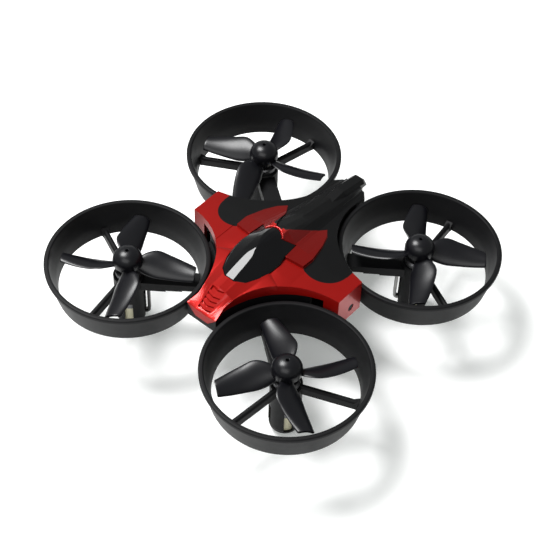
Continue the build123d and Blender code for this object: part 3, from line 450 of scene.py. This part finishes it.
def make_canopy(mat):
    """The CAD shell with small rounded edges; its flat facets stay flat."""
    obj = to_object(cad_copy("canopy"), "canopy_shell", [mat], SHARP_ANGLE)
    edges = obj.modifiers.new("edges", "BEVEL")
    edges.width = EDGE_WIDTH * MM
    edges.segments = 2
    edges.limit_method = "ANGLE"
    edges.angle_limit = math.radians(EDGE_ANGLE)
    edges.use_clamp_overlap = True
    apply_modifiers(obj)
    obj.data.shade_smooth()
    obj.data.set_sharp_from_angle(angle=math.radians(SHARP_ANGLE))
    shading = obj.modifiers.new("shading", "WEIGHTED_NORMAL")
    shading.mode = "FACE_AREA"
    shading.weight = 100
    shading.keep_sharp = True
    apply_modifiers(obj)
    place(obj, "airframe", "canopy")


# ---------------------------------------------------------------- propellers
# radius, leading edge, trailing edge, pitch in degrees, droop of the blade
BLADE = (
    (1.9, 1.5, -0.8, 36.0, 0.0),
    (4.0, 3.0, -1.4, 33.0, 0.25),
    (6.5, 3.85, -1.85, 29.5, 0.45),
    (9.5, 3.35, -2.0, 25.0, 0.55),
    (12.5, 2.5, -2.2, 21.0, 0.45),
    (15.25, 1.5, -2.3, 18.0, 0.25),
)
BLADE_Z = -2.3
BLADE_CAMBER = 0.5
BLADE_HALF = 0.26        # half the thickness of a blade
BLADE_STEPS = 7          # rows between two stations
CHORD_STEPS = 14
TIP_ROUNDING = ((0.10, 0.05), (0.18, 0.14), (0.24, 0.30))   # further out, and in from each edge
# radius, height and corner radius down the outside of the hub, with the shaft hole on top
HUB = ((0.0, 1.7, 0), (0.42, 1.7, 0), (0.42, 2.58, 0.06), (0.9, 2.52, 0), (1.5, 2.36, 0),
       (2.1, 2.06, 0), (2.65, 1.6, 0), (3.05, 1.08, 0), (3.32, 0.48, 0), (3.45, -0.15, 0),
       (3.42, -1.3, 0.12), (2.3, -1.3, 0), (2.3, -3.2, 0.1), (0.0, -3.2, 0))
HUB_SEGMENTS = 96


def blade_points(angle, sense, centre):
    """Rows of points round each section, from root to tip."""
    stations = catmull(BLADE, BLADE_STEPS)
    tip = stations[-1]
    for shift, pull in TIP_ROUNDING:
        stations.append((tip[0] + shift, tip[1] - pull, tip[2] + pull, tip[3], tip[4]))
    rows = []
    out = Vector((math.cos(angle), math.sin(angle), 0))
    ahead = Vector((0, 0, 1)).cross(out) * sense
    for radius, lead, trail, pitch, droop in stations:
        tilt = math.radians(pitch)
        chord = ahead * math.cos(tilt) + Vector((0, 0, 1)) * math.sin(tilt)
        normal = ahead * -math.sin(tilt) + Vector((0, 0, 1)) * math.cos(tilt)
        stretch = 1 / math.cos(tilt)
        front = lead * stretch
        back = trail * stretch
        half_chord = (front - back) / 2
        origin = centre + (out * radius + Vector((0, 0, BLADE_Z - droop))) * MM
        upper = []
        lower = []
        for k in range(CHORD_STEPS + 1):
            s = -math.cos(math.pi * k / CHORD_STEPS)
            u = (front + back) / 2 + half_chord * s
            arch = BLADE_CAMBER * (1 - s * s)
            thick = BLADE_HALF * max(0.0, 1 - s ** 6) ** 0.5
            upper.append(origin + (chord * u + normal * (arch + thick)) * MM)
            if 0 < k < CHORD_STEPS:
                lower.append(origin + (chord * u + normal * (arch - thick)) * MM)
        rows.append(upper + lower[::-1])
    return rows


def make_propeller(corner, mat):
    bm = bmesh.new()
    centre = Vector((AXIS[corner].x, AXIS[corner].y, RIM))
    profile = [(r * MM, z * MM) for r, z in rounded(HUB, 4, closed=False)]
    lathe(bm, profile, centre, HUB_SEGMENTS, close_profile=False)
    for number in range(4):
        angle = math.radians(PHASE[corner] + 90 * number)
        rows = blade_points(angle, SENSE[corner], centre)
        verts = [[bm.verts.new(p) for p in row] for row in rows]
        size = len(rows[0])
        for low, high in zip(verts, verts[1:]):
            for k in range(size):
                n = (k + 1) % size
                bm.faces.new((low[k], low[n], high[n], high[k]))
        bm.faces.new(verts[0])
        bm.faces.new(verts[-1][::-1])
    obj = to_object(bm, f"propeller_smooth_{corner}", [mat], sharp=40.0)
    place(obj, f"rotor_{corner}", f"propeller_{corner}")


# ---------------------------------------------------------------- duct rings
# radius and height down the inside of the wall; radius, height and corner radius round the rest
DUCT_WALL = ((17.8, 0.0), (17.35, -1.6), (16.75, -3.4), (16.3, -5.2), (16.1, -8.0))
DUCT_OUTSIDE = [(16.1, -8.0, 0.15), (16.85, -8.0, 0.18), (18.42, -1.32, 0.25), (18.86, -0.92, 0.12),
                (18.9, 0.0, 0.6), (17.9, 0.0, 0.9)]
DUCT_STEPS = 6
DUCT_SEGMENTS = 192


def make_duct(corner, mat):
    bm = bmesh.new()
    axis = AXIS[corner]
    centre = Vector((axis.x, axis.y, RIM))
    inner = catmull(DUCT_WALL, DUCT_STEPS)
    outline = DUCT_OUTSIDE + [(r, z, 0) for r, z in inner[1:-1]]
    profile = [(r * MM, z * MM) for r, z in rounded(outline)]
    lathe(bm, profile, centre, DUCT_SEGMENTS)
    obj = to_object(bm, f"duct_smooth_{corner}", [mat], sharp=50.0)
    place(obj, "airframe", f"duct_ring_{corner}")


# ---------------------------------------------------------------- cockpit cover
# plan outline of one side, and break lines across the top at each station, in millimetres
COCKPIT_HALF = ((0, -15.6), (1.3, -15.6), (3.4, -14.0), (4.8, -11.0), (5.6, -7.5), (5.7, -4.9),
                (5.3, -3.2), (4.9, 1.5), (2.35, -0.9), (1.9, -0.2), (1.1, 0.35), (0, 0.55))
COCKPIT_STATIONS = (
    (-16.5, ((0, 4.0), (1.2, 4.0), (2.6, 3.2), (4.0, 2.6), (9.0, 1.8))),
    (-14.0, ((0, 4.76), (1.1, 4.76), (2.9, 4.0), (4.2, 3.4), (9.0, 2.4))),
    (-9.0, ((0, 6.29), (0.85, 6.29), (2.5, 5.5), (5.2, 4.0), (9.0, 2.9))),
    (-6.6, ((0, 7.02), (0.15, 7.02), (2.3, 6.2), (5.6, 4.2), (9.0, 3.0))),
    (-3.2, ((0, 7.6), (1.1, 7.4), (2.3, 6.6), (5.6, 4.5), (9.0, 3.0))),
    (-0.9, ((0, 7.7), (1.1, 7.5), (2.3, 6.8), (4.9, 4.7), (9.0, 3.1))),
    (2.6, ((0, 6.9), (1.1, 6.7), (2.3, 6.2), (5.2, 4.3), (9.0, 3.2))),
)
COCKPIT_CENTRE_Y = -4.0      # the mesh spreads out from this point of the centre line
COCKPIT_DEPTH = 2.4
COCKPIT_EDGE_R = 0.2
COCKPIT_EDGE_STEPS = 3
COCKPIT_SPACING = 0.25       # between points of the outline
COCKPIT_LEVELS = 26
COCKPIT_ROW_STEPS = 8


def cockpit_height(x, y, lines):
    """Height of the cover over a plan point, from break lines sampled closely along y."""
    x = abs(x)
    y = min(max(y, lines[0][0]), lines[-1][0])
    row = 0
    while row < len(lines) - 2 and lines[row + 1][0] < y:
        row += 1
    low, high = lines[row], lines[row + 1]
    t = (y - low[0]) / (high[0] - low[0])
    points = [a + (b - a) * t for a, b in zip(low[1:], high[1:])]
    pairs = list(zip(points[0::2], points[1::2]))
    for (x0, z0), (x1, z1) in zip(pairs, pairs[1:]):
        if x <= x1:
            return z0 + (z1 - z0) * (x - x0) / max(x1 - x0, 1e-6)
    return pairs[-1][1]


def cockpit_edge():
    """Closely spaced plan points round the whole outline."""
    outline = list(COCKPIT_HALF) + [(-x, y) for x, y in COCKPIT_HALF[-2:0:-1]]
    edge = []
    for (x0, y0), (x1, y1) in zip(outline, outline[1:] + outline[:1]):
        steps = max(2, round(math.hypot(x1 - x0, y1 - y0) / COCKPIT_SPACING))
        edge += [(x0 + (x1 - x0) * k / steps, y0 + (y1 - y0) * k / steps) for k in range(steps)]
    return edge


def towards_centre(x, y, reach):
    return x * reach, COCKPIT_CENTRE_Y + (y - COCKPIT_CENTRE_Y) * reach


def make_cockpit(mat):
    rows = [(y, *[value for point in breaks for value in point]) for y, breaks in COCKPIT_STATIONS]
    lines = catmull(rows, COCKPIT_ROW_STEPS)
    edge = cockpit_edge()
    rings = []
    for level in range(1, COCKPIT_LEVELS):
        ring = []
        for x, y in edge:
            px, py = towards_centre(x, y, level / COCKPIT_LEVELS)
            ring.append((px, py, cockpit_height(px, py, lines)))
        rings.append(ring)
    rim = [(x, y, cockpit_height(x, y, lines)) for x, y in edge]
    for turn in range(COCKPIT_EDGE_STEPS + 1):
        angle = math.pi / 2 * turn / COCKPIT_EDGE_STEPS
        pull = COCKPIT_EDGE_R * (1 - math.sin(angle))
        sink = COCKPIT_EDGE_R * (1 - math.cos(angle))
        ring = []
        for x, y, z in rim:
            length = math.hypot(x, y - COCKPIT_CENTRE_Y)
            px, py = towards_centre(x, y, 1 - pull / length)
            ring.append((px, py, z - sink))
        rings.append(ring)
    rings.append([(x, y, z - COCKPIT_DEPTH) for x, y, z in rim])

    bm = bmesh.new()

    def vertex(x, y, z):
        return bm.verts.new(Vector((x * MM, y * MM, RIM + z * MM)))

    loops = [[vertex(*point) for point in ring] for ring in rings]
    middle = cockpit_height(0, COCKPIT_CENTRE_Y, lines)
    top = vertex(0, COCKPIT_CENTRE_Y, middle)
    base = vertex(0, COCKPIT_CENTRE_Y, middle - COCKPIT_DEPTH)
    count = len(edge)
    for k in range(count):
        n = (k + 1) % count
        bm.faces.new((top, loops[0][k], loops[0][n]))
        for low, high in zip(loops, loops[1:]):
            bm.faces.new((low[k], high[k], high[n], low[n]))
        bm.faces.new((base, loops[-1][n], loops[-1][k]))
    obj = to_object(bm, "cockpit_glossy", [mat], sharp=60.0)
    place(obj, "airframe", "cockpit_cover")


# ---------------------------------------------------------------- motor wires
def connected_groups(bm):
    """Lists of faces that hang together."""
    groups = []
    seen = set()
    for face in bm.faces:
        if face in seen:
            continue
        stack = [face]
        group = []
        seen.add(face)
        while stack:
            current = stack.pop()
            group.append(current)
            for edge in current.edges:
                for other in edge.link_faces:
                    if other not in seen:
                        seen.add(other)
                        stack.append(other)
        groups.append(group)
    return groups


def make_leads(corner, mats):
    """The two wires of a motor, one colour each."""
    bm = cad_copy(f"motor_leads_{corner}")
    groups = connected_groups(bm)
    groups.sort(key=lambda g: min(v.co.x for f in g for v in f.verts))
    for index, group in enumerate(groups):
        for face in group:
            face.material_index = index % 2
    obj = to_object(bm, f"motor_wires_{corner}", mats, sharp=50.0)
    place(obj, "airframe", f"motor_leads_{corner}")


# ---------------------------------------------------------------- materials of the other nodes
def paint_node(node, mat):
    """Gives a CAD node whose shape is kept its material."""
    obj = frame["nodes"][node]
    if not obj.material_slots:
        obj.data.materials.append(mat)
    for entry in obj.material_slots:
        entry.material = mat


make_camera()
make_stage()

frame_black = material("frame_black", (0.0036, 0.0036, 0.0042), 0.15, (0.48, 0.58), grain=5200.0,
                       grain_height=0.008, bump_strength=0.25, specular=0.16)
prop_black = material("propeller_black", (0.0035, 0.0035, 0.005), 0.12, (0.26, 0.36), grain=4200.0,
                      grain_height=0.004, bump_strength=0.12, specular=0.34)
cockpit_black = material("cockpit_black", (0.002, 0.002, 0.0025), 0.2, (0.05, 0.09), grain=1500.0,
                         grain_height=0.002, bump_strength=0.05, specular=0.3)
steel = material("motor_steel", (0.14, 0.14, 0.145), 0.08, (0.38, 0.48), metallic=1.0, grain=900.0,
                 grain_height=0.003, bump_strength=0.3, stretch=(1, 1, 12))
cream = material("end_bell_cream", (0.55, 0.52, 0.36), 0.08, (0.40, 0.50))
magnet = material("magnet_nickel", (0.50, 0.49, 0.47), 0.08, (0.22, 0.32), metallic=1.0)
copper = material("winding_copper", (0.62, 0.28, 0.12), 0.2, (0.30, 0.42), metallic=1.0,
                  stretch=(1, 1, 25))
wire_black = material("wire_black", (0.012, 0.012, 0.013), 0.15, (0.32, 0.42))
wire_white = material("wire_white", (0.40, 0.40, 0.39), 0.06, (0.35, 0.45))
wire_red = material("wire_red", (0.50, 0.02, 0.015), 0.1, (0.32, 0.42))
wire_blue = material("wire_blue", (0.02, 0.07, 0.42), 0.1, (0.32, 0.42))
board_green = material("board_green", (0.012, 0.12, 0.045), 0.25, (0.25, 0.4), tone_scale=900.0)
chip_black = material("chip_black", (0.015, 0.015, 0.016), 0.2, (0.45, 0.6))
crystal = material("crystal_metal", (0.66, 0.66, 0.66), 0.06, (0.25, 0.35), metallic=1.0)
ceramic = material("capacitor_ceramic", (0.36, 0.22, 0.11), 0.15, (0.4, 0.55))
lamp = material("lamp_clear", (0.80, 0.80, 0.72), 0.05, (0.18, 0.3))
socket_white = material("socket_white", (0.70, 0.69, 0.64), 0.05, (0.38, 0.48))
brass = material("contact_brass", (0.68, 0.52, 0.26), 0.1, (0.25, 0.35), metallic=1.0)
screw = material("screw_steel", (0.40, 0.40, 0.41), 0.1, (0.3, 0.4), metallic=1.0)
foil = material("battery_foil", (0.62, 0.62, 0.64), 0.06, (0.25, 0.4), metallic=0.8, grain=700.0,
                grain_height=0.02, bump_strength=0.3)
tape = material("battery_tape", (0.55, 0.33, 0.03), 0.1, (0.2, 0.3))
paint = canopy_paint()

for node_name, node_material in (
    ("flight_board", board_green),
    ("board_screws", screw),
    ("flight_controller_chip", chip_black),
    ("radio_chip", chip_black),
    ("motion_sensor", chip_black),
    ("radio_crystal", crystal),
    ("motor_transistors", chip_black),
    ("board_capacitors", ceramic),
    ("status_lamps", lamp),
    ("battery_socket", socket_white),
    ("socket_pins", brass),
    ("socket_leads", wire_red),
    ("battery_cell", foil),
    ("battery_protection_board", tape),
    ("vent_slats", paint),
    ("centre_tray", frame_black),
    ("battery_bay", frame_black),
):
    paint_node(node_name, node_material)

# the two wires of each motor, from -X to +X
LEAD_COLOURS = {
    "front_left": (wire_blue, wire_red),
    "front_right": (wire_white, wire_black),
    "rear_left": (wire_black, wire_white),
    "rear_right": (wire_blue, wire_red),
}

for corner in CORNERS:
    paint_node(f"motor_can_{corner}", steel)
    paint_node(f"motor_magnet_{corner}", magnet)
    paint_node(f"motor_end_bell_{corner}", cream)
    paint_node(f"motor_shaft_{corner}", steel)
    paint_node(f"motor_winding_{corner}", copper)
    paint_node(f"motor_mount_{corner}", frame_black)
    make_duct(corner, frame_black)
    make_propeller(corner, prop_black)
    make_leads(corner, LEAD_COLOURS[corner])

make_canopy(paint)
make_cockpit(cockpit_black)
